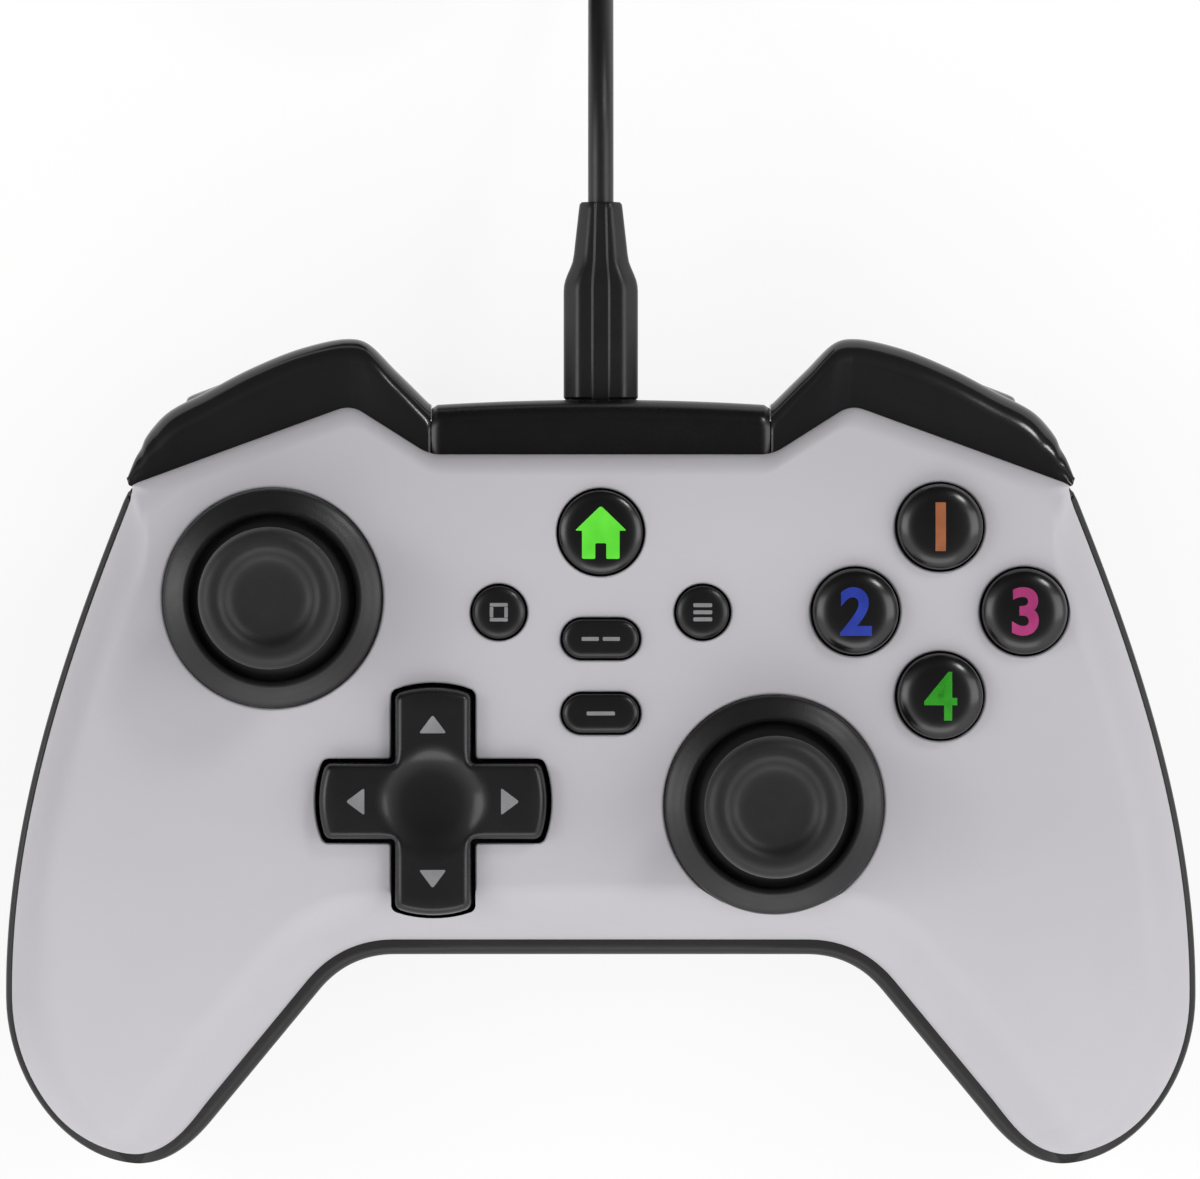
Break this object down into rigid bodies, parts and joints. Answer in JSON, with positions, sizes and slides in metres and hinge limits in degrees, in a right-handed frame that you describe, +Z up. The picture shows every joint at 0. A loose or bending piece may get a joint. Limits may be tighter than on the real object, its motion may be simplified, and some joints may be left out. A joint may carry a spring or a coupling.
{
  "type": "wired gamepad",
  "caption": "Wired two-grip gamepad with pale faceplate, black back, thumb sticks, d-pad, face buttons, bumpers, triggers and a coiled cable.",
  "frame": {"origin": "on the table below the middle of the body, half way between the grip tips and the bumper peaks", "axes": "+X to the player's right, +Y from the player to the cable, +Z up out of the faceplate"},
  "size_m": [0.1674, 0.2187, 0.0488],
  "materials": {
    "pale_shell": "matte",
    "black_shell": "satin",
    "dark_plastic": "satin",
    "gloss_black": "glossy",
    "stick_rubber": "matte",
    "steel": "satin",
    "silicone": "matte",
    "cable_black": "satin",
    "icon_light": "satin",
    "board": "satin"
  },
  "bodies": {
    "casing": {"front_shell": "pale_shell", "rear_shell": "black_shell", "top_bridge": "black_shell", "shell_screws": "steel", "main_board": "board", "board_screws": "steel", "usb_socket": "steel", "face_button_pad": "silicone", "dpad_post": "dark_plastic", "dpad_pad": "silicone", "centre_pad": "silicone", "bumper_pins": "steel", "bumper_switches": "steel", "trigger_pins": "steel", "trigger_springs": "steel", "left_rumble_motor": "steel", "right_rumble_motor": "steel", "left_stick_ring": "stick_rubber", "left_stick_base": "dark_plastic", "left_stick_sensors": "dark_plastic", "right_stick_ring": "stick_rubber", "right_stick_base": "dark_plastic", "right_stick_sensors": "dark_plastic", "cable_plug": "cable_black", "cable_plug_tip": "steel", "cord": "cable_black", "cord_coil": "cable_black", "cord_tail": "cable_black", "cord_tie": "cable_black", "usb_plug_body": "cable_black", "usb_plug_shell": "steel"},
    "face_button_top": {"face_button_top": "gloss_black"},
    "face_button_left": {"face_button_left": "gloss_black"},
    "face_button_right": {"face_button_right": "gloss_black"},
    "face_button_bottom": {"face_button_bottom": "gloss_black"},
    "guide_button": {"guide_button": "gloss_black", "guide_icon": "icon_light"},
    "left_menu_button": {"left_menu_button": "gloss_black"},
    "right_menu_button": {"right_menu_button": "gloss_black"},
    "upper_pill_button": {"upper_pill_button": "gloss_black"},
    "lower_pill_button": {"lower_pill_button": "gloss_black"},
    "dpad_pivot": {"dpad_pivot": "steel"},
    "dpad": {"dpad": "dark_plastic"},
    "left_bumper": {"left_bumper": "dark_plastic"},
    "left_trigger": {"left_trigger": "black_shell"},
    "left_rumble_weight": {"left_rumble_weight": "steel"},
    "left_stick_yoke": {"left_stick_yoke": "dark_plastic"},
    "left_stick_lever": {"left_stick_lever": "steel"},
    "left_stick_cap": {"left_stick_cap": "stick_rubber"},
    "right_bumper": {"right_bumper": "dark_plastic"},
    "right_trigger": {"right_trigger": "black_shell"},
    "right_rumble_weight": {"right_rumble_weight": "steel"},
    "right_stick_yoke": {"right_stick_yoke": "dark_plastic"},
    "right_stick_lever": {"right_stick_lever": "steel"},
    "right_stick_cap": {"right_stick_cap": "stick_rubber"}
  },
  "joints": [
    {"name": "press_face_button_top", "type": "slide", "parent": "casing", "child": "face_button_top", "axis": [0, 0, -1], "range_m": [0, 0.0014], "stiffness_N_per_m": 400},
    {"name": "press_face_button_left", "type": "slide", "parent": "casing", "child": "face_button_left", "axis": [0, 0, -1], "range_m": [0, 0.0014], "stiffness_N_per_m": 400},
    {"name": "press_face_button_right", "type": "slide", "parent": "casing", "child": "face_button_right", "axis": [0, 0, -1], "range_m": [0, 0.0014], "stiffness_N_per_m": 400},
    {"name": "press_face_button_bottom", "type": "slide", "parent": "casing", "child": "face_button_bottom", "axis": [0, 0, -1], "range_m": [0, 0.0014], "stiffness_N_per_m": 400},
    {"name": "press_guide_button", "type": "slide", "parent": "casing", "child": "guide_button", "axis": [0, 0, -1], "range_m": [0, 0.0008], "stiffness_N_per_m": 400},
    {"name": "press_left_menu_button", "type": "slide", "parent": "casing", "child": "left_menu_button", "axis": [0, 0, -1], "range_m": [0, 0.0008], "stiffness_N_per_m": 400},
    {"name": "press_right_menu_button", "type": "slide", "parent": "casing", "child": "right_menu_button", "axis": [0, 0, -1], "range_m": [0, 0.0008], "stiffness_N_per_m": 400},
    {"name": "press_upper_pill_button", "type": "slide", "parent": "casing", "child": "upper_pill_button", "axis": [0, 0, -1], "range_m": [0, 0.0008], "stiffness_N_per_m": 400},
    {"name": "press_lower_pill_button", "type": "slide", "parent": "casing", "child": "lower_pill_button", "axis": [0, 0, -1], "range_m": [0, 0.0008], "stiffness_N_per_m": 400},
    {"name": "dpad_up_down", "type": "hinge", "parent": "casing", "child": "dpad_pivot", "pos_m": [-0.0214, -0.0059, 0.03284], "axis": [1, 0, 0], "range_deg": [-6, 6], "stiffness_Nm_per_rad": 0.05},
    {"name": "dpad_left_right", "type": "hinge", "parent": "dpad_pivot", "child": "dpad", "pos_m": [-0.0214, -0.0059, 0.03284], "axis": [0, 1, 0], "range_deg": [-6, 6], "stiffness_Nm_per_rad": 0.05},
    {"name": "press_left_bumper", "type": "hinge", "parent": "casing", "child": "left_bumper", "pos_m": [-0.0255, 0.0404, 0.024], "axis": [0, 0, 1], "range_deg": [0, 1.6], "stiffness_Nm_per_rad": 1.5},
    {"name": "pull_left_trigger", "type": "hinge", "parent": "casing", "child": "left_trigger", "pos_m": [-0.0443, 0.0409, 0.0145], "axis": [-0.9336, -0.3584, 0], "range_deg": [0, 18], "stiffness_Nm_per_rad": 0.12},
    {"name": "spin_left_rumble_weight", "type": "hinge", "parent": "casing", "child": "left_rumble_weight", "pos_m": [-0.057, -0.022, 0.012], "axis": [0, 1, 0], "continuous": true},
    {"name": "left_stick_up_down", "type": "hinge", "parent": "casing", "child": "left_stick_yoke", "pos_m": [-0.0419, 0.02, 0.02991], "axis": [1, 0, 0], "range_deg": [-20, 20], "stiffness_Nm_per_rad": 0.04},
    {"name": "left_stick_left_right", "type": "hinge", "parent": "left_stick_yoke", "child": "left_stick_lever", "pos_m": [-0.0419, 0.02, 0.02991], "axis": [0, 1, 0], "range_deg": [-20, 20], "stiffness_Nm_per_rad": 0.04},
    {"name": "left_stick_click", "type": "slide", "parent": "left_stick_lever", "child": "left_stick_cap", "axis": [0, 0, -1], "range_m": [0, 0.0005], "stiffness_N_per_m": 3000},
    {"name": "press_right_bumper", "type": "hinge", "parent": "casing", "child": "right_bumper", "pos_m": [0.0255, 0.0404, 0.024], "axis": [0, 0, -1], "range_deg": [0, 1.6], "stiffness_Nm_per_rad": 1.5},
    {"name": "pull_right_trigger", "type": "hinge", "parent": "casing", "child": "right_trigger", "pos_m": [0.0443, 0.0409, 0.0145], "axis": [-0.9336, 0.3584, 0], "range_deg": [0, 18], "stiffness_Nm_per_rad": 0.12},
    {"name": "spin_right_rumble_weight", "type": "hinge", "parent": "casing", "child": "right_rumble_weight", "pos_m": [0.057, -0.022, 0.012], "axis": [0, 1, 0], "continuous": true},
    {"name": "right_stick_up_down", "type": "hinge", "parent": "casing", "child": "right_stick_yoke", "pos_m": [0.0221, -0.0064, 0.03034], "axis": [1, 0, 0], "range_deg": [-20, 20], "stiffness_Nm_per_rad": 0.04},
    {"name": "right_stick_left_right", "type": "hinge", "parent": "right_stick_yoke", "child": "right_stick_lever", "pos_m": [0.0221, -0.0064, 0.03034], "axis": [0, 1, 0], "range_deg": [-20, 20], "stiffness_Nm_per_rad": 0.04},
    {"name": "right_stick_click", "type": "slide", "parent": "right_stick_lever", "child": "right_stick_cap", "axis": [0, 0, -1], "range_m": [0, 0.0005], "stiffness_N_per_m": 3000}
  ]
}
